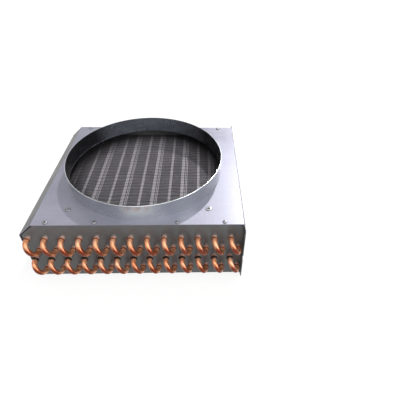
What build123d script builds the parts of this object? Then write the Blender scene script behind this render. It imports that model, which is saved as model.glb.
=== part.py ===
from build123d import *
from math import cos, pi, sin, sqrt
import os

# A small air-cooled condenser: a fin-and-tube coil between two tube sheets, closed by two
# side plates, under a folded fan cover with a raised round ring. It stands on the lower
# edges of its sheets. X runs along the rows of tube ends, Y along the tubes and Z up. The
# origin is on the floor, in the middle of the whole outline. Lengths are in millimetres.

# Coil pattern: 5/16 inch tube on equal triangles, staggered by half a pitch from row to row
TUBE_OD = 7.94
STUB_WALL = 0.71
TUBE_PITCH = 25.4
ROW_PITCH = TUBE_PITCH * sqrt(3) / 2
COLUMNS = 13
ROWS = 4
BOTTOM_ROW_Z = 24.709
BEND_RADIUS = TUBE_PITCH / 2

# Cover outline: the gap is from the top row of tubes to the cover's upper face
COVER_GAP = 26.3
COVER_OVERHANG = 0.7
BEVEL_RUN = 21.2
BEVEL_DROP = 19.9

# Sheet metal: SLIP is left between pieces that slide together, CUT_MARGIN is how far cutters overrun
SHEET_T = 1.2
COVER_T = 0.8
SIDE_T = 0.8
TOP_FLANGE = 9.0
BOTTOM_FLANGE = 10.0
LEFT_SKIRT = 14.0
RIGHT_SKIRT = 22.0
TAB_WIDTH = 11.0
TAB_HEIGHT = 30.0
COVER_FOLD_R = 2.0
SHEET_FOLD_R = 1.0
SLIP = 0.2
CUT_MARGIN = 1.0

# Foot flange of each tube sheet: it has two mounting holes, clear of the bends, and a V notch
FOOT_REACH = 13.8
FOOT_BOTTOM = 9.0
FOOT_TOP_SLANT = 3.0
NOTCH_LOW = 48.0
NOTCH_HIGH = 59.0
NOTCH_ROOT_Z = 55.7
NOTCH_DEPTH = 6.5
FOOT_HOLE_Z = (38.0, 100.0)
FOOT_HOLE = 5.5

# Fan ring and what is fixed round it. RING_EDGE is left between the ring and the tube sheets'
# outer faces, and NUT_GAP between the ring and the axis of each nut.
RING_X = 5.6
RING_OUTER_R = 132.2
RING_T = 1.0
RING_HEIGHT = 28.0
RING_EDGE = 9.0
NUT_GAP = 20.535
NUT_BORE = 4.2
NUT_BODY = 7.0
NUT_FLANGE = 10.0
NUT_FLANGE_T = 1.0
NUT_LENGTH = 9.0

# Screws through the cover, and rivets through the tube sheets into the side plates' tabs
COVER_SCREW_X = (61.0, 132.0)
COVER_SCREW_INSET = 4.5
SCREW_SHANK = 3.9
SCREW_HEAD = 7.2
SCREW_HEAD_T = 1.8
SCREW_LENGTH = 5.0
RIVET_SHANK = 3.2
RIVET_HEAD = 5.2
RIVET_HEAD_T = 1.2
RIVET_INSET = 4.3
RIVET_DROP = 9.2

# Fin pack: the fins stand free above and below, as far as a thin web over the nearest tubes.
# The air gap is between the fins' ends and the left side plate.
FIN_ROW_EDGE = 10.0
FIN_EDGE = 5.7
FIN_PITCH = 25.4 / 8
FIN_T = 0.3
FIN_WEB = 0.5
LEFT_AIR_GAP = 3.7

# Tube ends: a short neck, then a bell that takes the end of a return bend
NECK = 2.5
BELL_MOUTH = 6.5
BELL_FLARE = 1.5
BEND_STRAIGHT = 1.13
HAIRPIN_STANDOFF = 5.0
CROSSOVER_STANDOFF = 2.0
CROSSOVER_REACH = 17.0

# Repeated tubes carry six flats in place of a full round, to keep the coil light. Their
# flats face along the 60 degree lines of the tube pattern, so every leg fits its hole.
TUBE_SIDES = 6
TUBE_TURN = 30
RETURN_CORNERS = 6
HAIRPIN_CORNERS = 4
SMALL_SIDES = 8

# Sizes that follow from the ones above
SHEET_OUTER_Y = RING_OUTER_R + RING_EDGE
SHEET_INNER_Y = SHEET_OUTER_Y - SHEET_T
FIN_END_Y = SHEET_INNER_Y - SIDE_T
FIN_WIDTH = (COLUMNS - 0.5) * TUBE_PITCH + 2 * FIN_EDGE
HALF_WIDTH = (FIN_WIDTH + SLIP + LEFT_AIR_GAP) / 2 + SIDE_T + COVER_T
FIN_LEFT = HALF_WIDTH - COVER_T - SIDE_T - SLIP - FIN_WIDTH
FIRST_TUBE_X = FIN_LEFT + FIN_EDGE
TUBE_CORNER_R = TUBE_OD / 2 / cos(pi / TUBE_SIDES)
FIN_DEPTH = FIN_ROW_EDGE - TUBE_CORNER_R - FIN_WEB
TOP_ROW_Z = BOTTOM_ROW_Z + (ROWS - 1) * ROW_PITCH
BODY_HEIGHT = TOP_ROW_Z + COVER_GAP
COVER_UNDERSIDE = BODY_HEIGHT - COVER_T
RING_INNER_R = RING_OUTER_R - RING_T
NUT_SPACING = (RING_OUTER_R + NUT_GAP) * sqrt(2)
BELL_OD = TUBE_OD + BELL_FLARE
MOUTH_Y = SHEET_OUTER_Y + BELL_MOUTH
END_REACH = BELL_MOUTH + BEND_STRAIGHT + BEND_RADIUS + TUBE_OD / 2
ALL_TUBES = [(row, column) for row in range(ROWS) for column in range(COLUMNS)]


def tube_x(row, column):
    """Centre of a tube: every other row is set over by half a pitch."""
    return FIRST_TUBE_X + column * TUBE_PITCH + (row % 2) * TUBE_PITCH / 2


def row_z(row):
    return TOP_ROW_Z - row * ROW_PITCH


def point(row, column):
    return tube_x(row, column), row_z(row)


def tube_flats(across=TUBE_OD):
    """Cross-section of a repeated tube, measured across its flats."""
    return RegularPolygon(across / 2, TUBE_SIDES, major_radius=False, rotation=TUBE_TURN)


def small_flats(across):
    """Cross-section of a small fastener and of its hole."""
    return RegularPolygon(across / 2, SMALL_SIDES, major_radius=False)


def section_plane(x, y, z):
    """A plane across a tube, looking along +Y."""
    return Plane(origin=(x, y, z), x_dir=(1, 0, 0), z_dir=(0, 1, 0))


def bend_points(a, b, centre_y, bulge_y, corners):
    """Corners of a half-turn from a to b (points in XZ) that bulges along Y, round or flattened."""
    middle = (Vector(a[0], 0, a[1]) + Vector(b[0], 0, b[1])) * 0.5
    across = Vector(b[0] - a[0], 0, b[1] - a[1]) * 0.5
    stretch = 1 / cos(pi / corners / 2)
    points = []
    for k in range(corners):
        angle = pi * (k + 0.5) / corners
        bulge = Vector(0, bulge_y * sin(angle) * stretch, 0)
        points.append(middle - across * (cos(angle) * stretch) + bulge + Vector(0, centre_y, 0))
    return points


def swept_tube(points):
    """A tube of flat sides along straight runs, mitred at each corner."""
    plane = Plane(origin=points[0], x_dir=(1, 0, 0), z_dir=points[1] - points[0])
    return sweep(plane * tube_flats(), path=Polyline(*points), transition=Transition.RIGHT)


def return_bend(a, b):
    """Front bend between two bells, from mouth to mouth."""
    centre_y = -(MOUTH_Y + BEND_STRAIGHT)
    arc = bend_points(a, b, centre_y, -BEND_RADIUS, RETURN_CORNERS)
    ends = [Vector(x, -MOUTH_Y, z) for x, z in (a, b)]
    return swept_tube([ends[0], *arc, ends[1]])


def bell(x, z, end=-1):
    """Flared end of a repeated tube, from its neck to its mouth, at the front or rear end."""
    narrow = section_plane(x, end * (SHEET_OUTER_Y + NECK), z) * tube_flats()
    wide = section_plane(x, end * MOUTH_Y, z) * tube_flats(BELL_OD)
    return loft([narrow, wide], ruled=True)


def hairpin(a, b, standoff=HAIRPIN_STANDOFF, reach=BEND_RADIUS):
    """Two legs through the coil and the bend that joins them behind the rear tube sheet."""
    arc = bend_points(a, b, SHEET_OUTER_Y + standoff, reach, HAIRPIN_CORNERS)
    starts = [Vector(x, -(SHEET_OUTER_Y + NECK), z) for x, z in (a, b)]
    body = swept_tube([starts[0], *arc, starts[1]])
    return body + bell(*a) + bell(*b)


def port_tube(x, z):
    """Straight tube through the coil with a bell at each end, for a bend and for a stub."""
    neck_y = SHEET_OUTER_Y + NECK
    leg = extrude(section_plane(x, -neck_y, z) * tube_flats(), amount=2 * neck_y)
    return leg + bell(x, z) + bell(x, z, 1)


def port_stub(x, z):
    """Open round pipe in the rear bell of a port tube."""
    wall = Circle(TUBE_OD / 2) - Circle(TUBE_OD / 2 - STUB_WALL)
    return extrude(section_plane(x, MOUTH_Y, z) * wall, amount=END_REACH - BELL_MOUTH)


def tube_holes(y, depth):
    """Cutters for all the tubes of the coil, from y along +Y."""
    return [
        extrude(section_plane(tube_x(*tube), y, row_z(tube[0])) * tube_flats(), amount=depth)
        for tube in ALL_TUBES
    ]


def box(x0, x1, y0, y1, z0, z1):
    """A block between two corners."""
    return Pos((x0 + x1) / 2, (y0 + y1) / 2, (z0 + z1) / 2) * Box(x1 - x0, y1 - y0, z1 - z0)


def cover_screw_places(end):
    """Screw centres along the front or rear edge of the cover."""
    y = end * (SHEET_OUTER_Y - COVER_SCREW_INSET)
    return [(RING_X + side * x, y) for side in (-1, 1) for x in COVER_SCREW_X]


def rivet_place(side):
    """Rivet centre on a tube sheet: between two tubes on the left, just below one on the right."""
    if side < 0:
        return -HALF_WIDTH + COVER_T + RIVET_INSET, (row_z(0) + row_z(2)) / 2
    return HALF_WIDTH - RIVET_INSET, row_z(1) - RIVET_DROP


def rivet_hole(side):
    """Hole for a rivet, through both tube sheets and both tabs."""
    x, z = rivet_place(side)
    start = -SHEET_OUTER_Y - CUT_MARGIN
    return extrude(section_plane(x, start, z) * small_flats(RIVET_SHANK), amount=-2 * start)


def screw_hole_z(x, y):
    """Hole for a cover screw, through the cover and the flange below it."""
    plane = Plane.XY.offset(BODY_HEIGHT - SCREW_LENGTH)
    return extrude(plane * Pos(x, y) * small_flats(SCREW_SHANK), amount=2 * SCREW_LENGTH)


def foot_flange():
    """Outward flange at the right edge of the front tube sheet."""
    outer = -(SHEET_OUTER_Y + FOOT_REACH)
    root = -SHEET_OUTER_Y + SHEET_T
    notch_root = outer + NOTCH_DEPTH
    outline = Polyline(
        (root, 0),
        (-SHEET_OUTER_Y, 0),
        (outer, FOOT_BOTTOM),
        (outer, NOTCH_LOW),
        (notch_root, NOTCH_ROOT_Z),
        (outer, NOTCH_HIGH),
        (outer, COVER_UNDERSIDE - FOOT_TOP_SLANT),
        (outer + FOOT_TOP_SLANT, COVER_UNDERSIDE),
        (root, COVER_UNDERSIDE),
        close=True,
    )
    plane = Plane(origin=(HALF_WIDTH - SHEET_T, 0, 0), x_dir=(0, 1, 0), z_dir=(1, 0, 0))
    face = plane * make_face(outline)
    hole_y = -(SHEET_OUTER_Y + FOOT_REACH / 2)
    holes = [plane * Pos(hole_y, z) * Circle(FOOT_HOLE / 2) for z in FOOT_HOLE_Z]
    return extrude(face - holes, amount=SHEET_T)


def front_tube_sheet():
    left = -HALF_WIDTH + COVER_T
    right = HALF_WIDTH
    bevel_x = -HALF_WIDTH + BEVEL_RUN + COVER_T
    outline = Polyline(
        (left, 0),
        (right, 0),
        (right, COVER_UNDERSIDE),
        (bevel_x, COVER_UNDERSIDE),
        (left, COVER_UNDERSIDE - (bevel_x - left) * BEVEL_DROP / BEVEL_RUN),
        close=True,
    )
    plane = Plane(origin=(0, -SHEET_OUTER_Y, 0), x_dir=(1, 0, 0), z_dir=(0, -1, 0))
    sheet = extrude(plane * make_face(outline), amount=-SHEET_T)
    inner = -SHEET_OUTER_Y
    flange_right = right - SHEET_T - COVER_T
    sheet += box(
        bevel_x, flange_right, inner, inner + TOP_FLANGE, COVER_UNDERSIDE - SHEET_T, COVER_UNDERSIDE
    )
    sheet += box(left + SIDE_T, flange_right, inner, inner + BOTTOM_FLANGE, 0, SHEET_T)
    front_edges = sheet.edges().filter_by(Axis.X).group_by(Axis.Y)[0]
    sheet = fillet(front_edges, SHEET_FOLD_R) + foot_flange()
    cuts = tube_holes(-SHEET_OUTER_Y - CUT_MARGIN, SHEET_T + 2 * CUT_MARGIN)
    cuts += [rivet_hole(side) for side in (-1, 1)]
    cuts += [screw_hole_z(x, y) for x, y in cover_screw_places(-1)]
    return sheet - cuts


def cover_profile():
    """Folded section of the cover across its width, in the XZ plane."""
    envelope = Polygon(
        (-HALF_WIDTH, 0),
        (HALF_WIDTH, 0),
        (HALF_WIDTH, BODY_HEIGHT),
        (-HALF_WIDTH + BEVEL_RUN, BODY_HEIGHT),
        (-HALF_WIDTH, BODY_HEIGHT - BEVEL_DROP),
        align=None,
    )
    folds = envelope.vertices().group_by(Axis.Y)[1:]
    envelope = fillet([vertex for group in folds for vertex in group], COVER_FOLD_R)
    shell = envelope - offset(envelope, amount=-COVER_T, kind=Kind.INTERSECTION)
    left_end = BODY_HEIGHT - BEVEL_DROP - LEFT_SKIRT
    right_end = BODY_HEIGHT - RIGHT_SKIRT
    shell -= Pos(-HALF_WIDTH, left_end / 2) * Rectangle(2 * HALF_WIDTH, left_end)
    shell -= Pos(HALF_WIDTH, right_end / 2) * Rectangle(2 * HALF_WIDTH, right_end)
    return shell


def fan_cover():
    half_depth = SHEET_OUTER_Y + COVER_OVERHANG
    plane = Plane(origin=(0, half_depth, 0), x_dir=(1, 0, 0), z_dir=(0, -1, 0))
    cover = extrude(plane * cover_profile(), amount=2 * half_depth)
    cover -= Pos(RING_X, 0, COVER_UNDERSIDE) * Cylinder(RING_INNER_R, 4 * COVER_T)
    for side in (-1, 1):
        notch_in = side * (SHEET_INNER_Y - SLIP)
        notch_out = side * (half_depth + CUT_MARGIN)
        low, high = sorted((notch_in, notch_out))
        right = HALF_WIDTH + CUT_MARGIN
        cover -= box(HALF_WIDTH - COVER_FOLD_R, right, low, high, 0, COVER_UNDERSIDE)
    cuts = [screw_hole_z(x, y) for end in (-1, 1) for x, y in cover_screw_places(end)]
    plane = Plane.XY.offset(BODY_HEIGHT - NUT_LENGTH)
    for x, y in fan_nut_places():
        cuts.append(extrude(plane * Pos(x, y) * small_flats(NUT_BODY), amount=2 * NUT_LENGTH))
    return cover - cuts


def fan_ring():
    band = Cylinder(RING_OUTER_R, RING_HEIGHT) - Cylinder(RING_INNER_R, RING_HEIGHT)
    return Pos(RING_X, 0, BODY_HEIGHT + RING_HEIGHT / 2) * band


def fan_nut_places():
    half = NUT_SPACING / 2
    return [(RING_X + x, y) for x in (-half, half) for y in (-half, half)]


def rivet_nut(x, y):
    """Flanged nut pulled into the cover, open from above for the screw of a fan guard."""
    plane = Plane(origin=(x, y, BODY_HEIGHT))
    flange = extrude(plane * small_flats(NUT_FLANGE), amount=NUT_FLANGE_T)
    body = extrude(plane * small_flats(NUT_BODY), amount=-NUT_LENGTH)
    return flange + body - plane * Cylinder(NUT_BORE / 2, 3 * NUT_LENGTH)


def side_plate(side):
    """Plate that closes one end of the coil: two tabs behind the tube sheets, a foot fold below."""
    outer = side * (HALF_WIDTH - COVER_T)
    inner = outer - side * SIDE_T
    top = COVER_UNDERSIDE - COVER_FOLD_R - (BEVEL_DROP if side < 0 else 0)
    rivet_z = rivet_place(side)[1]
    tab_top = rivet_z + (TAB_HEIGHT / 2 if side < 0 else RIVET_HEAD / 2)
    x0, x1 = sorted((outer, inner))
    plate = box(x0, x1, -SHEET_INNER_Y, SHEET_INNER_Y, 0, top)
    fold0, fold1 = sorted((outer, outer - side * TAB_WIDTH))
    fold_end = SHEET_INNER_Y - BOTTOM_FLANGE
    plate += box(fold0, fold1, -fold_end, fold_end, 0, SIDE_T)
    for end in (-1, 1):
        y0, y1 = sorted((end * SHEET_INNER_Y, end * FIN_END_Y))
        plate += box(fold0, fold1, y0, y1, tab_top - TAB_HEIGHT, tab_top)
    return plate - rivet_hole(side)


def fin_profile():
    """Comb outline of the fin pack in the YZ plane, with one tooth for each fin above and below."""
    top = row_z(0) + FIN_ROW_EDGE
    bottom = row_z(ROWS - 1) - FIN_ROW_EDGE
    gaps = int(2 * FIN_END_Y / FIN_PITCH)
    pitch = (2 * FIN_END_Y - FIN_T) / gaps
    outline = []
    for edge, step in ((top, -1), (bottom, 1)):
        teeth = []
        for k in range(gaps):
            start = -FIN_END_Y + k * pitch + FIN_T
            end = start + pitch - FIN_T
            teeth += [(start, edge), (start, edge + step * FIN_DEPTH)]
            teeth += [(end, edge + step * FIN_DEPTH), (end, edge)]
        outline += [(-FIN_END_Y, edge), *teeth, (FIN_END_Y, edge)][::-step]
    return make_face(Polyline(*outline, close=True))


def fin_pack():
    plane = Plane(origin=(FIN_LEFT, 0, 0), x_dir=(0, 1, 0), z_dir=(1, 0, 0))
    block = extrude(plane * fin_profile(), amount=FIN_WIDTH)
    return block - tube_holes(-SHEET_INNER_Y, 2 * SHEET_INNER_Y)


def cover_screws(end):
    """Pan-head screws along one edge of the cover."""
    screws = []
    for x, y in cover_screw_places(end):
        plane = Plane(origin=(x, y, BODY_HEIGHT))
        head = extrude(plane * small_flats(SCREW_HEAD), amount=SCREW_HEAD_T)
        screws.append(head + extrude(plane * small_flats(SCREW_SHANK), amount=-SCREW_LENGTH))
    return screws


def side_rivets(end):
    """Rivets that hold the side plates to one tube sheet."""
    rivets = []
    for side in (-1, 1):
        x, z = rivet_place(side)
        plane = Plane(origin=(x, end * SHEET_OUTER_Y, z), x_dir=(1, 0, 0), z_dir=(0, end, 0))
        head = extrude(plane * small_flats(RIVET_HEAD), amount=RIVET_HEAD_T)
        grip = SHEET_T + SIDE_T
        rivets.append(head + extrude(plane * small_flats(RIVET_SHANK), amount=-grip))
    return rivets


def write(name, solids):
    """Save one named sub-part, which may be a group of separate solids."""
    shape = solids[0] if len(solids) == 1 else Compound(children=solids)
    export_step(shape, f"parts/{name}.step")


def upper_hairpins():
    pairs = [(point(1, column), point(0, column + 1)) for column in range(COLUMNS - 1)]
    return [hairpin(a, b) for a, b in pairs]


def lower_hairpins():
    pairs = [(point(2, column + 1), point(3, column)) for column in range(COLUMNS - 1)]
    return [hairpin(a, b) for a, b in pairs]


os.makedirs("parts", exist_ok=True)
write("fan_cover", [fan_cover()])
write("fan_ring", [fan_ring()])
front_sheet = front_tube_sheet()
write("front_tube_sheet", [front_sheet])
write("rear_tube_sheet", [mirror(front_sheet, about=Plane.XZ)])
write("left_side_plate", [side_plate(-1)])
write("right_side_plate", [side_plate(1)])
write("fin_pack", [fin_pack()])
write("upper_hairpins", upper_hairpins())
write("lower_hairpins", lower_hairpins())
last = COLUMNS - 1
crossover = hairpin(point(1, last), point(3, last), CROSSOVER_STANDOFF, CROSSOVER_REACH)
write("crossover_hairpin", [crossover])
for port, row in (("inlet", 0), ("outlet", 2)):
    write(f"{port}_tube", [port_tube(*point(row, 0))])
    write(f"{port}_stub", [port_stub(*point(row, 0))])
for column in range(COLUMNS):
    number = f"{column + 1:02d}"
    write(f"upper_return_bend_{number}", [return_bend(point(0, column), point(1, column))])
    write(f"lower_return_bend_{number}", [return_bend(point(2, column), point(3, column))])
write("fan_rivet_nuts", [rivet_nut(x, y) for x, y in fan_nut_places()])
for end_name, end in (("front", -1), ("rear", 1)):
    write(f"{end_name}_cover_screws", cover_screws(end))
    write(f"{end_name}_side_rivets", side_rivets(end))
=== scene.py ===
from math import cos, pi, radians, sin, sqrt, tau

import bmesh
import bpy
from mathutils import Matrix, Vector


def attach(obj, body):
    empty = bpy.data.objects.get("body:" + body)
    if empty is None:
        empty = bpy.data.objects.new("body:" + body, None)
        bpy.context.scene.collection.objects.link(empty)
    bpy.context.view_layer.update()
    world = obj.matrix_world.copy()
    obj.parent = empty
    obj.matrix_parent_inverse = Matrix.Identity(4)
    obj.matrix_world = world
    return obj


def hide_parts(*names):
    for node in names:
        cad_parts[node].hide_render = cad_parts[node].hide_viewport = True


# Finish for the air-cooled condenser: smooth round copper tubes with belled and brazed
# ends, thin fins, round fasteners and drawn tube collars stand over the plain CAD pieces,
# and the folded sheets keep their CAD shape under a galvanised finish. Sizes and places are
# in millimetres, and are scaled to metres where a mesh or a material is made.
MM = 0.001

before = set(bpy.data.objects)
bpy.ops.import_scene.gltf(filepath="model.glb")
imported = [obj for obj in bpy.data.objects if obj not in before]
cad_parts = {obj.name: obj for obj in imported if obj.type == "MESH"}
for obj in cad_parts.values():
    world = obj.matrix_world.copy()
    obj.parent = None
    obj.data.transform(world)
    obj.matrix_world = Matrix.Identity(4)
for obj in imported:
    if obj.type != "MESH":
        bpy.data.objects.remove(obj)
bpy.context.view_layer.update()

# Coil pattern, as in the part's source
TUBE_OD = 7.94
TUBE_WALL = 0.71
TUBE_PITCH = 25.4
ROW_PITCH = TUBE_PITCH * sqrt(3) / 2
COLUMNS = 13
ROWS = 4
FIRST_TUBE_X = -157.0
TOP_ROW_Z = 90.7
SHEET_OUTER_Y = 141.2
BELL_MOUTH = 6.5
BEND_STRAIGHT = 1.13
HAIRPIN_STANDOFF = 5.0
CROSSOVER_STANDOFF = 2.0
CROSSOVER_REACH = 17.0

TUBE_R = TUBE_OD / 2
BEND_RADIUS = TUBE_PITCH / 2
MOUTH_Y = SHEET_OUTER_Y + BELL_MOUTH
BEND_CENTRE_Y = MOUTH_Y + BEND_STRAIGHT
END_REACH = BELL_MOUTH + BEND_STRAIGHT + BEND_RADIUS + TUBE_R
LAST = COLUMNS - 1

# Cover, ring and fasteners, as in the part's source
COVER_TOP_Z = 117.0
COVER_T = 0.8
RING_X = 5.6
RING_OUTER_R = 132.2
RING_T = 1.0
RING_INNER_R = RING_OUTER_R - RING_T
RING_HEIGHT = 28.0
NUT_HALF_SPACING = 108.0
COVER_SCREW_X = (61.0, 132.0)
COVER_SCREW_Y = 136.7
RIVET_DROP = 9.2
LEFT_RIVET = (-162.9, TOP_ROW_Z - ROW_PITCH)
RIGHT_RIVET = (163.7, TOP_ROW_Z - ROW_PITCH - RIVET_DROP)

# How finely round shapes are divided, and what makes an edge sharp, in degrees
TUBE_SEGMENTS = 20
BEND_SEGMENTS = 24
LATHE_SEGMENTS = 24
SMALL_LATHE_SEGMENTS = 20
RING_SEGMENTS = 144
HAIRPIN_STEPS = 16
BEND_STEPS = 20
SHARP_ANGLE = 35.0
WELD_DISTANCE = 0.0001

# How deep a bend sits in its cup, and how far the ring's bead stands out
CUP_DEPTH = 3.6
BEAD_OUT = 0.25

# Dark strip of painted shade up a tube sheet's left edge and along its bevel, where the cover's lip
# leaves a gap, as (x, z)
GAP_SHADE_PATH = ((-167.2, 8.0), (-167.2, 96.3), (-146.0, 116.2))
GAP_SHADE_WIDTH = 1.7
GAP_SHADE_T = 0.5
GAP_SHADE_MITRE = 0.41

# Outlines turned round an axis, as (radius, height above the sheet that they stand on)
COLLAR_PROFILE = (
    (3.9, 1.1),
    (4.2, 1.2),
    (4.55, 1.05),
    (4.75, 0.55),
    (5.15, 0.15),
    (5.7, -0.1),
    (3.9, 1.1),
)
SCREW_PROFILE = (
    (1.95, -5.0),
    (1.95, 0.0),
    (3.55, 0.0),
    (3.6, 0.35),
    (3.35, 1.1),
    (2.7, 1.6),
    (1.75, 1.8),
)
RIVET_PROFILE = (
    (1.6, -2.0),
    (1.6, 0.0),
    (2.6, 0.0),
    (2.6, 0.25),
    (2.3, 0.75),
    (1.7, 1.1),
    (1.0, 1.2),
    (0.85, 0.9),
    (0.7, 1.25),
)
NUT_PROFILE = (
    (3.5, -9.0),
    (3.5, 0.0),
    (4.9, 0.0),
    (5.0, 0.3),
    (4.75, 0.85),
    (4.3, 1.0),
    (2.5, 1.0),
    (2.15, 0.6),
)
NUT_LENGTH = 9.0
THREAD_INNER_R = 2.1
THREAD_OUTER_R = 2.45
THREAD_TURNS = 9

# Dark cross of painted shade standing for the recess on top of a screw: half its length and width, its
# height over the cover, and its turn in radians, which grows from screw to screw
RECESS_ARM = 1.6
RECESS_SLOT = 0.352
RECESS_TOP = 1.83
RECESS_T = 0.3
FIRST_RECESS_TURN = 0.4
NEXT_RECESS_TURN = 0.9

# Open end of a tube: the cup's inside, its lip, its wall and the neck at the sheet, as
# (distance in front of the tube sheet, radius)
CUP_PROFILE = (
    (2.9, 3.6),
    (3.4, 4.02),
    (5.9, 4.1),
    (6.5, 4.4),
    (6.5, 4.75),
    (6.1, 4.82),
    (5.6, 4.65),
    (3.7, 4.5),
    (3.1, 4.35),
    (2.5, 4.1),
    (2.0, TUBE_R),
)

# Fins: the real foil is thinner than the teeth of the CAD block. Small tabs lanced out of
# each fin reach the next one, in bands along the coil, a wide band and a narrow one in turn.
FIN_COUNT = 88
FIN_T = 0.3
FIN_END_Y = 139.2
FIN_LEFT = -162.7
FIN_RIGHT = 166.2
FIN_TOP = 100.7
FIN_BOTTOM = 14.709
BAND_X = 97.0
BAND_PITCH = 24.45
WIDE_BAND = (-5.6, -4.2, -2.8, -1.4, 1.6, 4.2)
NARROW_BAND = (-1.3, 0.2, 1.7)
TAB_WIDTH = 0.8
TAB_DEPTH = 0.7
TAB_T = 0.15

# Where a finish or a painted shade changes: for the painted shade on the fins, radius from the ring's
# axis; for the painted shade on the ring's lip, distance outward from the ring's inner side; for the
# copper, distance past the mouth of a belled end
FIN_SHADE_START_R = 104.0
FIN_SHADE_FULL_R = 138.0
LIP_SHADE_EDGE = (0.2, 0.8)
# span of the painted shade on the crowns of the bends
CROWN_SHADE_SPAN = (11.5, 16.2)
BELL_FADE = (-1.0, 0.0)
HEAT = (0.3, 1.2)
SHINE = (1.0, 13.0)

# Colours of the grain, the painted shades, the copper and the floor
WHITE = (1.0, 1.0, 1.0)
GRAIN_SHADE = (0.88, 0.88, 0.88)
# painted shade on the cover's bevel and skirt that face left
BEVEL_PAINTED_SHADE = (0.27, 0.26, 0.22)
# painted shade and reflection inside the fan ring, darkest at its left and right, paler at the back and
# front
SIDE_PAINTED_SHADE = (0.07, 0.07, 0.08)
REAR_PAINTED_SHADE = (0.56, 0.61, 0.68)
COPPER_DARK = (0.62, 0.23, 0.11)
COPPER_MIDDLE = (0.78, 0.36, 0.19)
COPPER_LIGHT = (0.90, 0.51, 0.33)
# painted shade that darkens and reddens the crowns of the bends
CROWN_PAINTED_SHADE = (0.15, 0.02, 0.006)
BELL_PINK = (0.80, 0.49, 0.40)
# heat tint at the joints, and painted shade under the tubes
HEAT_AND_SHADE_BROWN = (0.30, 0.08, 0.035)
# painted shade on the fins toward the ring and under the cover
FIN_PAINTED_SHADE = (0.015, 0.015, 0.016)
FLOOR_COLOUR = (0.42, 0.42, 0.43)
FLOOR_SHADOW_COLOUR = (0.22, 0.22, 0.22)
FLOOR_GLOW = 0.84
FLOOR_HALF = 30.0

# Camera fitted to the photograph's outline, above and in front and slightly to the right:
# angles in degrees, lens and shift in pixels of the photograph's frame, place in metres
CAMERA_PITCH = 39.229
CAMERA_YAW = 2.937
CAMERA_ROLL = -1.802
CAMERA_PLACE = (0.10118, -0.49762, 0.48399)
FOCAL_PX = 343.3
SHIFT_PX = (-14.11, -15.44)
FRAME_PX = 400.0
SENSOR = 36.0


def tube_x(row, column):
    """X of a tube; every second row stands half a pitch to the right."""
    return FIRST_TUBE_X + column * TUBE_PITCH + (row % 2) * TUBE_PITCH / 2


def row_z(row):
    """Height of a row of tubes, counted from the top."""
    return TOP_ROW_Z - row * ROW_PITCH


def tube_point(row, column, y):
    """A point on a tube's axis."""
    return Vector((tube_x(row, column), y, row_z(row)))


# Material nodes


def new_material(name):
    """An empty node material with its Principled shader linked to the output."""
    material = bpy.data.materials.new(name)
    material.use_nodes = True
    tree = material.node_tree
    tree.nodes.clear()
    shader = tree.nodes.new("ShaderNodeBsdfPrincipled")
    output = tree.nodes.new("ShaderNodeOutputMaterial")
    tree.links.new(shader.outputs["BSDF"], output.inputs["Surface"])
    return material, tree, shader


def feed(tree, value, socket):
    """Give a socket another socket, a colour or a number."""
    if isinstance(value, tuple):
        socket.default_value = (*value, 1)
    elif isinstance(value, (int, float)):
        socket.default_value = value
    else:
        tree.links.new(value, socket)


def place(tree, scale=(1.0, 1.0, 1.0)):
    """Object coordinates, stretched along each axis."""
    coords = tree.nodes.new("ShaderNodeTexCoord")
    mapping = tree.nodes.new("ShaderNodeMapping")
    mapping.inputs["Scale"].default_value = scale
    tree.links.new(coords.outputs["Object"], mapping.inputs["Vector"])
    return mapping.outputs["Vector"]


def noise(tree, vector, scale, detail):
    """Soft noise, from 0 to 1."""
    node = tree.nodes.new("ShaderNodeTexNoise")
    node.inputs["Scale"].default_value = scale
    node.inputs["Detail"].default_value = detail
    node.inputs["Roughness"].default_value = 0.55
    tree.links.new(vector, node.inputs["Vector"])
    return node.outputs["Fac"]


def ramp(tree, value, *stops):
    """Colour ramp through stops of (position, colour)."""
    node = tree.nodes.new("ShaderNodeValToRGB")
    elements = node.color_ramp.elements
    elements[0].position, elements[1].position = stops[0][0], stops[-1][0]
    elements[0].color, elements[1].color = (*stops[0][1], 1), (*stops[-1][1], 1)
    for position, colour in stops[1:-1]:
        elements.new(position).color = (*colour, 1)
    tree.links.new(value, node.inputs["Fac"])
    return node.outputs["Color"]


def spread(tree, value, low, high, start=0.0, end=1.0):
    """Map a value from start..end to low..high."""
    node = tree.nodes.new("ShaderNodeMapRange")
    for socket, number in (("From Min", start), ("From Max", end), ("To Min", low), ("To Max", high)):
        node.inputs[socket].default_value = number
    tree.links.new(value, node.inputs["Value"])
    return node.outputs["Result"]


def reckon(tree, operation, *values):
    """A Math node on one or two values."""
    node = tree.nodes.new("ShaderNodeMath")
    node.operation = operation
    for value, socket in zip(values, node.inputs):
        feed(tree, value, socket)
    return node.outputs["Value"]


def weigh(tree, a, share, b):
    """A share of one value and the rest of another."""
    rest = round(1.0 - share, 6)
    return reckon(tree, "ADD", reckon(tree, "MULTIPLY", a, share), reckon(tree, "MULTIPLY", b, rest))


def mix(tree, factor, a, b):
    """Blend from one colour to another."""
    node = tree.nodes.new("ShaderNodeMix")
    node.data_type = "RGBA"
    for value, socket in zip((factor, a, b), (node.inputs[0], node.inputs[6], node.inputs[7])):
        feed(tree, value, socket)
    return node.outputs[2]


def tint(tree, colour, shade):
    """Multiply a colour by a shade."""
    result = mix(tree, 1.0, colour, shade)
    result.node.blend_type = "MULTIPLY"
    return result


def bump(tree, shader, height, distance, strength):
    """Fine relief on a shader's surface."""
    node = tree.nodes.new("ShaderNodeBump")
    node.inputs["Distance"].default_value = distance
    node.inputs["Strength"].default_value = strength
    tree.links.new(height, node.inputs["Height"])
    tree.links.new(node.outputs["Normal"], shader.inputs["Normal"])


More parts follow.
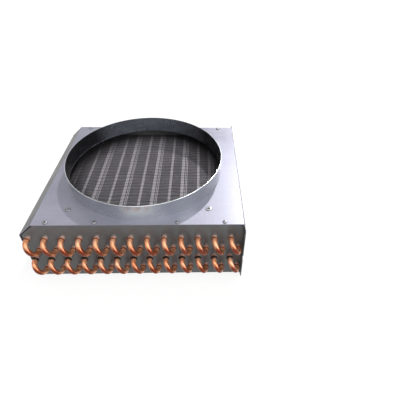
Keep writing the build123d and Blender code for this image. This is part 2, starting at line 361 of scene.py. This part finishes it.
def axis_value(tree, axis):
    """One object coordinate, in metres."""
    coords = tree.nodes.new("ShaderNodeTexCoord")
    split = tree.nodes.new("ShaderNodeSeparateXYZ")
    tree.links.new(coords.outputs["Object"], split.inputs["Vector"])
    return split.outputs[axis]


def facing(tree, axis):
    """How far the surface faces along one axis, from -1 to 1."""
    geometry = tree.nodes.new("ShaderNodeNewGeometry")
    split = tree.nodes.new("ShaderNodeSeparateXYZ")
    tree.links.new(geometry.outputs["Normal"], split.inputs["Vector"])
    return split.outputs[axis]


def square(tree, value):
    """A value times itself."""
    return reckon(tree, "MULTIPLY", value, value)


def from_ring_axis(tree):
    """Distance from the fan ring's axis, in metres."""
    across = reckon(tree, "SUBTRACT", axis_value(tree, 0), RING_X * MM)
    along = axis_value(tree, 1)
    return reckon(tree, "SQRT", reckon(tree, "ADD", square(tree, across), square(tree, along)))


def fin_rows(tree):
    """Lighter and darker rows along the fins, two or three fins wide, from 0 to 1."""
    node = tree.nodes.new("ShaderNodeTexWave")
    node.bands_direction = "Y"
    for socket, number in (("Scale", 38.0), ("Distortion", 5.0), ("Detail", 1.0), ("Detail Scale", 0.7)):
        node.inputs[socket].default_value = number
    tree.links.new(place(tree), node.inputs["Vector"])
    return node.outputs["Fac"]


# Materials


def painted_left_shade(tree):
    """Painted shade on the cover: darker and browner on the bevel and skirt that face left."""
    faces_left = spread(tree, facing(tree, 0), 1.0, 0.0, start=-0.6, end=-0.3)
    return mix(tree, faces_left, WHITE, BEVEL_PAINTED_SHADE)


def painted_ring_shade(tree):
    """Painted shade and reflection on the fan ring: darker on its inner side and the inner edge of its
    lip, most of all at the left and right, less at the back and front.
    """
    faces_along = reckon(tree, "ABSOLUTE", facing(tree, 1))
    # painted shade: the inner side facing left and right is darkest, the back and front paler
    dull = ramp(tree, faces_along, (0.6, SIDE_PAINTED_SHADE), (1.0, REAR_PAINTED_SHADE))
    start, end = ((RING_INNER_R + lip) * MM for lip in LIP_SHADE_EDGE)
    outer_side = spread(tree, from_ring_axis(tree), 0.0, 1.0, start, end)
    return mix(tree, outer_side, dull, WHITE)


def sheet_steel(name, dark, light, metallic, roughness, rolled, shade=None):
    """Galvanised sheet: soft blotches, faint rolling lines and a fine grain."""
    material, tree, shader = new_material(name)
    broad = noise(tree, place(tree), scale=14.0, detail=4.0)
    lines = noise(tree, place(tree, rolled), scale=90.0, detail=2.0)
    grain = noise(tree, place(tree), scale=900.0, detail=2.0)
    base = ramp(tree, weigh(tree, broad, 0.7, lines), (0.35, dark), (0.65, light))
    base = tint(tree, base, ramp(tree, grain, (0.3, GRAIN_SHADE), (0.7, WHITE)))
    if shade:
        base = tint(tree, base, shade(tree))
    feed(tree, base, shader.inputs["Base Color"])
    uneven = spread(tree, broad, roughness - 0.06, roughness + 0.08, start=0.3, end=0.7)
    feed(tree, uneven, shader.inputs["Roughness"])
    feed(tree, metallic, shader.inputs["Metallic"])
    bump(tree, shader, reckon(tree, "ADD", lines, grain), distance=0.03 * MM, strength=0.5)
    return material


def copper(name):
    """Drawn copper tube: warm blotches, dull pink belled ends, brown joints, with painted shade that
    reddens the crowns and browns the undersides.
    """
    material, tree, shader = new_material(name)
    blotch = noise(tree, place(tree), scale=55.0, detail=4.0)
    grain = noise(tree, place(tree, (1.0, 0.25, 1.0)), scale=700.0, detail=2.0)
    past_mouth = reckon(tree, "SUBTRACT", reckon(tree, "ABSOLUTE", axis_value(tree, 1)), MOUTH_Y * MM)

    def over(span, low, high, distance=past_mouth):
        """A value that goes from low to high over a span of distances."""
        return spread(tree, distance, low, high, span[0] * MM, span[1] * MM)

    base = ramp(tree, blotch, (0.32, COPPER_DARK), (0.5, COPPER_MIDDLE), (0.7, COPPER_LIGHT))
    # painted shade: the crowns of the bends are darkened and reddened
    base = mix(tree, over(CROWN_SHADE_SPAN, 0.0, 0.95), base, CROWN_PAINTED_SHADE)
    base = mix(tree, over(BELL_FADE, 0.8, 0.0), base, BELL_PINK)
    heat = over(HEAT, 0.4, 0.0, reckon(tree, "ABSOLUTE", past_mouth))
    # painted shade: faces that face down are browned, in the same colour as the heat tint at the joints
    under = spread(tree, facing(tree, 2), 0.6, 0.0, start=-0.9, end=0.0)
    base = mix(tree, reckon(tree, "MAXIMUM", heat, under), base, HEAT_AND_SHADE_BROWN)
    feed(tree, base, shader.inputs["Base Color"])
    feed(tree, spread(tree, blotch, 0.22, 0.32, start=0.3, end=0.7), shader.inputs["Roughness"])
    feed(tree, over(SHINE, 0.3, 0.85), shader.inputs["Metallic"])
    bump(tree, shader, grain, distance=0.04 * MM, strength=0.4)
    return material


def braze(name, dark, light, metallic):
    """Scale and flux left round a brazed joint."""
    material, tree, shader = new_material(name)
    crust = noise(tree, place(tree), scale=420.0, detail=4.0)
    feed(tree, ramp(tree, crust, (0.35, dark), (0.7, light)), shader.inputs["Base Color"])
    feed(tree, spread(tree, crust, 0.35, 0.7, start=0.3, end=0.7), shader.inputs["Roughness"])
    feed(tree, metallic, shader.inputs["Metallic"])
    feed(tree, 0.15, shader.inputs["Specular IOR Level"])
    bump(tree, shader, crust, distance=0.3 * MM, strength=0.6)
    return material


def fin_foil(name, dark, light, edge):
    """Aluminium fins: scratched foil with bright cut edges, darkened toward the ring and under the cover
    by painted shade.
    """
    material, tree, shader = new_material(name)
    threads = noise(tree, place(tree, (1.0, 0.05, 0.3)), scale=1400.0, detail=1.0)
    patches = noise(tree, place(tree), scale=45.0, detail=3.0)
    base = ramp(tree, weigh(tree, threads, 0.6, patches), (0.35, dark), (0.65, light))
    cut = spread(tree, reckon(tree, "ABSOLUTE", facing(tree, 2)), 0.0, 1.0, start=0.5, end=0.9)
    base = tint(tree, mix(tree, cut, base, edge), spread(tree, fin_rows(tree), 0.62, 1.0))
    # painted shade: the fins darken toward the ring and under the cover
    shade_toward_ring = spread(tree, from_ring_axis(tree), 0.0, 0.92, FIN_SHADE_START_R * MM, FIN_SHADE_FULL_R * MM)
    feed(tree, mix(tree, shade_toward_ring, base, FIN_PAINTED_SHADE), shader.inputs["Base Color"])
    feed(tree, spread(tree, patches, 0.38, 0.5, start=0.3, end=0.7), shader.inputs["Roughness"])
    feed(tree, 0.35, shader.inputs["Metallic"])
    return material


def zinc(name, bright):
    """Dulled zinc on small fasteners, darker in its pores."""
    material, tree, shader = new_material(name)
    speck = noise(tree, place(tree), scale=700.0, detail=3.0)
    dirty = tuple(0.6 * channel for channel in bright)
    feed(tree, ramp(tree, speck, (0.35, dirty), (0.65, bright)), shader.inputs["Base Color"])
    feed(tree, spread(tree, speck, 0.3, 0.48, start=0.3, end=0.7), shader.inputs["Roughness"])
    feed(tree, 1.0, shader.inputs["Metallic"])
    bump(tree, shader, speck, distance=0.05 * MM, strength=0.4)
    return material


# The cover's shade is painted shade on its bevel and skirt that face left.
COVER_STEEL = sheet_steel(
    "cover_steel",
    dark=(0.265, 0.265, 0.335),
    light=(0.325, 0.325, 0.395),
    metallic=0.4,
    roughness=0.39,
    rolled=(0.3, 6.0, 1.0),
    shade=painted_left_shade,
)
# The ring's shade is painted shade and reflection on its inner side and the inner edge of its lip.
RING_STEEL = sheet_steel(
    "ring_steel",
    dark=(0.54, 0.57, 0.58),
    light=(0.70, 0.73, 0.74),
    metallic=0.9,
    roughness=0.26,
    rolled=(1.0, 1.0, 6.0),
    shade=painted_ring_shade,
)
SHEET_STEEL = sheet_steel(
    "sheet_steel",
    dark=(0.10, 0.104, 0.107),
    light=(0.145, 0.15, 0.15),
    metallic=0.3,
    roughness=0.38,
    rolled=(1.0, 1.0, 5.0),
)
COPPER = copper("tube_copper")
BROWN_BRAZE = braze("brown_braze", dark=(0.10, 0.025, 0.012), light=(0.26, 0.08, 0.04), metallic=0.6)
# A black copy, used for the thick rings on the third-row front ends and, as painted shade, for the gap
# strips and the screw recesses.
BLACK_RINGS_AND_SHADE = braze("black_rings_and_painted_shade", dark=(0.004, 0.003, 0.003), light=(0.02, 0.012, 0.01), metallic=0.0)
# The fins and their tabs are one aluminium in two tones: the tabs' faces are lighter than the foil's, a
# painted highlight that makes the bands stand out.
FIN_FOIL = fin_foil(
    "fin_aluminium",
    dark=(0.17, 0.16, 0.175),
    light=(0.27, 0.25, 0.275),
    edge=(0.80, 0.77, 0.82),
)
FIN_TABS_HIGHLIGHTED = fin_foil(
    "fin_tab_aluminium_highlighted",
    dark=(0.32, 0.30, 0.32),
    light=(0.52, 0.48, 0.51),
    edge=(0.68, 0.64, 0.68),
)
ZINC = zinc("zinc_plated", bright=(0.32, 0.32, 0.34))


# Mesh building


def finish_mesh(name, bm, material, smooth=True):
    """Weld a bmesh in millimetres and turn it into an object in metres that rides on the body."""
    bmesh.ops.remove_doubles(bm, verts=bm.verts, dist=WELD_DISTANCE)
    bmesh.ops.recalc_face_normals(bm, faces=bm.faces)
    mesh = bpy.data.meshes.new(name)
    bm.to_mesh(mesh)
    bm.free()
    mesh.transform(Matrix.Scale(MM, 4))
    mesh.materials.append(material)
    if smooth:
        mesh.shade_smooth()
        mesh.set_sharp_from_angle(angle=radians(SHARP_ANGLE))
    piece = bpy.data.objects.new(name, mesh)
    bpy.context.scene.collection.objects.link(piece)
    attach(piece, "root")
    return piece


def add_rings(bm, rings, closed=True):
    """Skin a row of equal point loops; both ends are closed by a face or left open."""
    loops = [[bm.verts.new(p) for p in ring] for ring in rings]
    count = len(loops[0])
    for a, b in zip(loops, loops[1:]):
        for k in range(count):
            n = (k + 1) % count
            bm.faces.new((a[k], a[n], b[n], b[k]))
    if closed:
        bm.faces.new(loops[0][::-1])
        bm.faces.new(loops[-1])


def circle(centre, across, other, radius, segments):
    """Points round a centre, in the plane of two directions."""
    turns = [k * tau / segments for k in range(segments)]
    return [centre + (across * cos(a) + other * sin(a)) * radius for a in turns]


def add_tube(bm, points, radii, plane_normal, segments=TUBE_SEGMENTS):
    """Round tube along points that lie in one plane, with a radius at each point."""
    rings = []
    for k, point in enumerate(points):
        before = points[max(k - 1, 0)]
        after = points[min(k + 1, len(points) - 1)]
        tangent = (after - before).normalized()
        side = plane_normal.cross(tangent).normalized()
        rings.append(circle(point, side, plane_normal, radii[k], segments))
    add_rings(bm, rings)


def add_lathe(bm, profile, centre, axis, segments=LATHE_SEGMENTS, closed=True):
    """Turn a profile of (radius, height) round an axis through a centre."""
    across = axis.orthogonal().normalized()
    other = axis.cross(across)
    rings = []
    for radius, height in profile:
        rings.append(circle(centre + axis * height, across, other, radius, segments))
    add_rings(bm, rings, closed)


def half_turn(a, b, centre_y, bulge_y, steps):
    """Points of a half-turn from a to b that bulges along Y, round or flattened."""
    middle = Vector(((a.x + b.x) / 2, centre_y, (a.z + b.z) / 2))
    across = Vector((b.x - a.x, 0, b.z - a.z)) / 2
    bulge = Vector((0, bulge_y, 0))
    return [middle - across * cos(pi * k / steps) + bulge * sin(pi * k / steps) for k in range(steps + 1)]


def bend_normal(start, end):
    """Normal of the plane that a bend between two tubes lies in."""
    across = tube_point(*end, 0) - tube_point(*start, 0)
    return across.cross(Vector((0, 1, 0))).normalized()


# Tubes and their joints


def cup(row, column, side=-1):
    """Points and radii of one belled end, from its inside out to the neck."""
    points = [tube_point(row, column, side * (SHEET_OUTER_Y + out)) for out, _ in CUP_PROFILE]
    return points, [radius for _, radius in CUP_PROFILE]


def add_hairpin(bm, start, end, standoff, reach):
    """One long tube: cup, leg, rear bend, leg and cup."""
    a, radii_a = cup(*start)
    b, radii_b = cup(*end)
    bend_y = SHEET_OUTER_Y + standoff
    arc = half_turn(tube_point(*start, 0), tube_point(*end, 0), bend_y, reach, HAIRPIN_STEPS)
    points = [*a, *arc, *b[::-1]]
    radii = [*radii_a, *([TUBE_R] * len(arc)), *radii_b[::-1]]
    add_tube(bm, points, radii, bend_normal(start, end))


def hairpin_group(name, node, pairs, standoff=HAIRPIN_STANDOFF, reach=BEND_RADIUS):
    """Hairpins between pairs of tube ends, as one piece."""
    bm = bmesh.new()
    for start, end in pairs:
        add_hairpin(bm, start, end, standoff, reach)
    piece = finish_mesh(name, bm, COPPER)
    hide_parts(node)


def return_bend(name, node, top, bottom):
    """Front bend, pushed into its two cups."""
    bm = bmesh.new()
    inside = -(MOUTH_Y - CUP_DEPTH)
    a, b = tube_point(*top, inside), tube_point(*bottom, inside)
    arc = half_turn(a, b, -BEND_CENTRE_Y, -BEND_RADIUS, BEND_STEPS)
    points = [a, *arc, b]
    add_tube(bm, points, [TUBE_R] * len(points), bend_normal(top, bottom), BEND_SEGMENTS)
    piece = finish_mesh(name, bm, COPPER)
    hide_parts(node)


def port_tube(name, row, nodes):
    """Straight tube with a cup at each end and an open stub in the rear cup."""
    bm = bmesh.new()
    front, front_r = cup(row, 0)
    rear, rear_r = cup(row, 0, 1)
    add_tube(bm, [*front, *rear[::-1]], [*front_r, *rear_r[::-1]], Vector((1, 0, 0)))
    bore = TUBE_R - TUBE_WALL
    outline = (
        (TUBE_R, CUP_DEPTH),
        (TUBE_R, END_REACH - 0.4),
        (TUBE_R - 0.15, END_REACH),
        (bore + 0.1, END_REACH),
        (bore, END_REACH - 0.2),
        (bore, CUP_DEPTH + 0.5),
    )
    add_lathe(bm, outline, tube_point(row, 0, SHEET_OUTER_Y), Vector((0, 1, 0)))
    piece = finish_mesh(name, bm, COPPER)
    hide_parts(*nodes)


def braze_rings(name, ends, material, length, radius):
    """Fillet of scale on the lip of each cup, fading onto the bend."""
    bm = bmesh.new()
    profile = (
        (TUBE_R - 0.1, length),
        (TUBE_R + 0.2, length * 0.6),
        (radius - 0.3, 0.5),
        (radius, 0.1),
        (radius, -0.4),
        (radius - 0.2, -0.8),
        (radius - 0.6, -1.0),
    )
    for row, column, side in ends:
        add_lathe(bm, profile, tube_point(row, column, side * MOUTH_Y), Vector((0, side, 0)))
    piece = finish_mesh(name, bm, material)


def tube_collars(name, side):
    """Drawn lip round each tube hole of a tube sheet."""
    bm = bmesh.new()
    for row in range(ROWS):
        for column in range(COLUMNS):
            centre = tube_point(row, column, side * SHEET_OUTER_Y)
            add_lathe(bm, COLLAR_PROFILE, centre, Vector((0, side, 0)), SMALL_LATHE_SEGMENTS, False)
    piece = finish_mesh(name, bm, SHEET_STEEL)


# Fins


def add_block(bm, low, high):
    """A box between two opposite corners."""
    corners = [(x, y, z) for z in (low[2], high[2]) for y in (low[1], high[1]) for x in (low[0], high[0])]
    verts = [bm.verts.new(corner) for corner in corners]
    for face in ((0, 2, 3, 1), (4, 5, 7, 6), (0, 1, 5, 4), (2, 6, 7, 3), (0, 4, 6, 2), (1, 3, 7, 5)):
        bm.faces.new([verts[i] for i in face])


def tab_places():
    """X of every tab along one fin: wide and narrow bands in turn."""
    places = []
    first = -int((BAND_X - FIN_LEFT) / BAND_PITCH)
    last = int((FIN_RIGHT - BAND_X) / BAND_PITCH)
    for k in range(first, last + 1):
        offsets = WIDE_BAND if k % 2 else NARROW_BAND
        places += [BAND_X + k * BAND_PITCH + offset for offset in offsets]
    return [x for x in places if FIN_LEFT + TAB_WIDTH < x < FIN_RIGHT - TAB_WIDTH]


def add_tabs(bm, y0, y1):
    """The tabs that space one fin from the next, above and below."""
    for x in tab_places():
        for edge, inward in ((FIN_TOP, -1), (FIN_BOTTOM, 1)):
            z0, z1 = sorted((edge + inward * TAB_DEPTH, edge + inward * (TAB_DEPTH + TAB_T)))
            add_block(bm, (x - TAB_WIDTH / 2, y0, z0), (x + TAB_WIDTH / 2, y1, z1))


def fins():
    """Every fin as thin foil, with its tabs."""
    pitch = (2 * FIN_END_Y - FIN_T) / (FIN_COUNT - 1)
    foils = bmesh.new()
    tabs = bmesh.new()
    for k in range(FIN_COUNT):
        y = -FIN_END_Y + k * pitch
        add_block(foils, (FIN_LEFT, y, FIN_BOTTOM), (FIN_RIGHT, y + FIN_T, FIN_TOP))
        if k < FIN_COUNT - 1:
            add_tabs(tabs, y, y + pitch)
    piece = finish_mesh("fin_foils", foils, FIN_FOIL, False)
    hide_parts("fin_pack")
    finish_mesh("fin_tabs", tabs, FIN_TABS_HIGHLIGHTED, False)


# Ring, sealant and fasteners


def ring():
    """Rolled band with a small bead along its upper edge."""
    bm = bmesh.new()
    top = COVER_TOP_Z + RING_HEIGHT
    profile = (
        (RING_OUTER_R, COVER_TOP_Z),
        (RING_OUTER_R, top - 1.6),
        (RING_OUTER_R + BEAD_OUT, top - 1.1),
        (RING_OUTER_R + BEAD_OUT, top - 0.5),
        (RING_OUTER_R - 0.1, top - 0.08),
        (RING_OUTER_R - 0.6, top),
        (RING_INNER_R, top - 0.3),
        (RING_INNER_R, COVER_TOP_Z - COVER_T),
        (RING_OUTER_R, COVER_TOP_Z),
    )
    add_lathe(bm, profile, Vector((RING_X, 0, 0)), Vector((0, 0, 1)), RING_SEGMENTS, False)
    piece = finish_mesh("fan_ring_band", bm, RING_STEEL)
    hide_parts("fan_ring")


def gap_shade_strip(end_name, side):
    """Dark strip of painted shade on a tube sheet, along its left edge and bevel, beside the cover's lip.
    """
    bm = bmesh.new()
    low, mid, high = GAP_SHADE_PATH
    across = Vector((high[1] - mid[1], 0, mid[0] - high[0])).normalized() * GAP_SHADE_WIDTH
    inner_low = (low[0] + GAP_SHADE_WIDTH, low[1])
    inner_mid = (mid[0] + GAP_SHADE_WIDTH, mid[1] - GAP_SHADE_WIDTH * GAP_SHADE_MITRE)
    inner_high = (high[0] + across.x, high[1] + across.z)
    outline = (low, mid, high, inner_high, inner_mid, inner_low)
    y0, y1 = sorted((side * (SHEET_OUTER_Y - 0.1), side * (SHEET_OUTER_Y + GAP_SHADE_T)))
    add_rings(bm, [[Vector((x, y, z)) for x, z in outline] for y in (y0, y1)])
    piece = finish_mesh(f"{end_name}_seam", bm, BLACK_RINGS_AND_SHADE, False)


def add_cross(bm, centre, turn):
    """Dark cross on top of a screw, painted shade that reads as its driver recess."""
    axis = Vector((0, 0, 1))
    across = (Matrix.Rotation(turn, 3, axis) @ axis.orthogonal()).normalized()
    for arm in (across, axis.cross(across)):
        far = arm * RECESS_ARM
        near = axis.cross(arm) * RECESS_SLOT
        corners = (far + near, near - far, -far - near, far - near)
        heights = (RECESS_TOP - RECESS_T, RECESS_TOP)
        add_rings(bm, [[centre + axis * height + corner for corner in corners] for height in heights])


def cover_screws(end_name, side):
    """Pan-head screws along one edge of the cover, with the painted shade of their cross recesses as a
    piece of their own.
    """
    bm = bmesh.new()
    recess = bmesh.new()
    places = [RING_X + sign * x for sign in (-1, 1) for x in COVER_SCREW_X]
    for k, x in enumerate(places):
        centre = Vector((x, side * COVER_SCREW_Y, COVER_TOP_Z))
        add_lathe(bm, SCREW_PROFILE, centre, Vector((0, 0, 1)))
        add_cross(recess, centre, FIRST_RECESS_TURN + NEXT_RECESS_TURN * k)
    heads = finish_mesh(f"{end_name}_pan_head_screws", bm, ZINC)
    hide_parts(f"{end_name}_cover_screws")
    crosses = finish_mesh(f"{end_name}_screw_recess_shades", recess, BLACK_RINGS_AND_SHADE, False)


def rivet_nuts():
    """Flanged rivet nuts with a threaded bore."""
    bm = bmesh.new()
    outline = [*NUT_PROFILE]
    for k in range(THREAD_TURNS):
        outline += [(THREAD_INNER_R, 0.3 - k), (THREAD_OUTER_R, -0.2 - k)]
    outline += [(THREAD_INNER_R, -NUT_LENGTH), outline[0]]
    for x in (-NUT_HALF_SPACING, NUT_HALF_SPACING):
        for y in (-NUT_HALF_SPACING, NUT_HALF_SPACING):
            centre = Vector((RING_X + x, y, COVER_TOP_Z))
            add_lathe(bm, outline, centre, Vector((0, 0, 1)), closed=False)
    piece = finish_mesh("flanged_rivet_nuts", bm, ZINC)
    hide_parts("fan_rivet_nuts")


def side_rivets(end_name, side):
    """Domed rivets with the stub of the pulled pin."""
    bm = bmesh.new()
    for x, z in (LEFT_RIVET, RIGHT_RIVET):
        centre = Vector((x, side * SHEET_OUTER_Y, z))
        add_lathe(bm, RIVET_PROFILE, centre, Vector((0, side, 0)), SMALL_LATHE_SEGMENTS)
    piece = finish_mesh(f"{end_name}_domed_rivets", bm, ZINC)
    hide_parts(f"{end_name}_side_rivets")


def dress(material, *nodes):
    """Give CAD nodes that keep their own shape a better finish."""
    for node in nodes:
        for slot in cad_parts[node].material_slots:
            slot.material = material


# The object


def coil_tubes():
    """Hairpins, ports and return bends; a pair names its tube ends by (row, column)."""
    upper_pairs = [((1, c), (0, c + 1)) for c in range(LAST)]
    lower_pairs = [((2, c + 1), (3, c)) for c in range(LAST)]
    crossing = [((1, LAST), (3, LAST))]
    hairpin_group("upper_hairpin_tubes", "upper_hairpins", upper_pairs)
    hairpin_group("lower_hairpin_tubes", "lower_hairpins", lower_pairs)
    hairpin_group("crossover_tube", "crossover_hairpin", crossing, CROSSOVER_STANDOFF, CROSSOVER_REACH)
    port_tube("inlet_pipe", 0, ("inlet_tube", "inlet_stub"))
    port_tube("outlet_pipe", 2, ("outlet_tube", "outlet_stub"))
    for column in range(COLUMNS):
        for bank, row in (("upper", 0), ("lower", 2)):
            name = f"{bank}_bend_{column + 1:02d}"
            node = f"{bank}_return_bend_{column + 1:02d}"
            return_bend(name, node, (row, column), (row + 1, column))


def coil_joints():
    """Thick black rings on the third row of front ends, brown scale on the others and on the two ports.
    """
    black_ends = [(2, column, -1) for column in range(COLUMNS)]
    brown_ends = [(row, column, -1) for row in (0, 1, 3) for column in range(COLUMNS)]
    brown_ends += [(0, 0, 1), (2, 0, 1)]
    braze_rings("brown_braze_rings", brown_ends, BROWN_BRAZE, 0.9, 4.95)
    braze_rings("third_row_black_rings", black_ends, BLACK_RINGS_AND_SHADE, 2.8, 5.4)


dress(COVER_STEEL, "fan_cover")
dress(SHEET_STEEL, "front_tube_sheet", "rear_tube_sheet", "left_side_plate", "right_side_plate")
fins()
ring()
coil_tubes()
coil_joints()
tube_collars("front_tube_collars", -1)
tube_collars("rear_tube_collars", 1)
for end_name, side in (("front", -1), ("rear", 1)):
    cover_screws(end_name, side)
    side_rivets(end_name, side)
    gap_shade_strip(end_name, side)
rivet_nuts()


# Floor, light and camera


def seen_ray(tree):
    """1 for camera, glossy and transmission rays, 0 for diffuse light."""
    path = tree.nodes.new("ShaderNodeLightPath")
    seen = reckon(tree, "MAXIMUM", path.outputs["Is Camera Ray"], path.outputs["Is Glossy Ray"])
    return reckon(tree, "MAXIMUM", seen, path.outputs["Is Transmission Ray"])


def add_shader(tree, kind, colour):
    """A plain shader of one colour."""
    node = tree.nodes.new(kind)
    node.inputs["Color"].default_value = (*colour, 1)
    return node


def floor_material():
    """White to the camera and in reflections, with the object's shadow kept, and pale elsewhere."""
    material = bpy.data.materials.new("pale_floor")
    material.use_nodes = True
    tree = material.node_tree
    tree.nodes.clear()
    plain = add_shader(tree, "ShaderNodeBsdfDiffuse", FLOOR_COLOUR)
    faint = add_shader(tree, "ShaderNodeBsdfDiffuse", FLOOR_SHADOW_COLOUR)
    glow = add_shader(tree, "ShaderNodeEmission", WHITE)
    glow.inputs["Strength"].default_value = FLOOR_GLOW
    both = tree.nodes.new("ShaderNodeAddShader")
    tree.links.new(faint.outputs[0], both.inputs[0])
    tree.links.new(glow.outputs[0], both.inputs[1])
    choose = tree.nodes.new("ShaderNodeMixShader")
    tree.links.new(seen_ray(tree), choose.inputs["Fac"])
    tree.links.new(plain.outputs[0], choose.inputs[1])
    tree.links.new(both.outputs[0], choose.inputs[2])
    output = tree.nodes.new("ShaderNodeOutputMaterial")
    tree.links.new(choose.outputs[0], output.inputs["Surface"])
    return material


def stage_floor():
    """Pale floor, in metres, wide enough to fill every view."""
    mesh = bpy.data.meshes.new("floor")
    corners = [(FLOOR_HALF * u, FLOOR_HALF * v, 0) for u, v in ((-1, -1), (1, -1), (1, 1), (-1, 1))]
    mesh.from_pydata(corners, [], [(0, 1, 2, 3)])
    mesh.materials.append(floor_material())
    floor = bpy.data.objects.new("floor", mesh)
    bpy.context.scene.collection.objects.link(floor)


def set_world(level):
    """White surroundings that light the object at a set level."""
    world = bpy.data.worlds.new("studio")
    bpy.context.scene.world = world
    world.use_nodes = True
    tree = world.node_tree
    tree.nodes.clear()
    output = tree.nodes.new("ShaderNodeOutputWorld")
    sky = add_shader(tree, "ShaderNodeBackground", WHITE)
    tree.links.new(spread(tree, seen_ray(tree), level, 1.0), sky.inputs["Strength"])
    tree.links.new(sky.outputs[0], output.inputs["Surface"])


def add_sun(name, toward, strength, angle):
    """Sun lamp whose light travels along a direction."""
    lamp = bpy.data.lights.new(name, "SUN")
    lamp.energy = strength
    lamp.angle = radians(angle)
    sun = bpy.data.objects.new(name, lamp)
    sun.rotation_euler = Vector(toward).to_track_quat("-Z", "Y").to_euler()
    bpy.context.scene.collection.objects.link(sun)


def add_camera():
    """Camera with the pitch, yaw and roll that were fitted to the photograph."""
    pitch, yaw, roll = radians(CAMERA_PITCH), radians(CAMERA_YAW), radians(CAMERA_ROLL)
    data = bpy.data.cameras.new("camera")
    data.sensor_width = SENSOR
    data.lens = FOCAL_PX / FRAME_PX * SENSOR
    data.shift_x = SHIFT_PX[0] / FRAME_PX
    data.shift_y = SHIFT_PX[1] / FRAME_PX
    camera = bpy.data.objects.new("camera", data)
    forward = Vector((sin(yaw) * cos(pitch), cos(yaw) * cos(pitch), -sin(pitch)))
    level = Vector((cos(yaw), -sin(yaw), 0))
    down = forward.cross(level)
    right = level * cos(roll) + down * sin(roll)
    up = level * sin(roll) - down * cos(roll)
    turn = Matrix((right, up, -forward)).transposed().to_4x4()
    camera.matrix_world = Matrix.Translation(CAMERA_PLACE) @ turn
    bpy.context.scene.collection.objects.link(camera)
    bpy.context.scene.camera = camera


stage_floor()
set_world(0.30)
add_sun("key", toward=(-9, -30, -27), strength=1.7, angle=3.0)
add_sun("fill", toward=(-8, 14, -24), strength=1.4, angle=75.0)
add_sun("side", toward=(-24, 12, -9), strength=1.1, angle=30.0)
add_camera()
bpy.context.scene.view_settings.view_transform = "Standard"
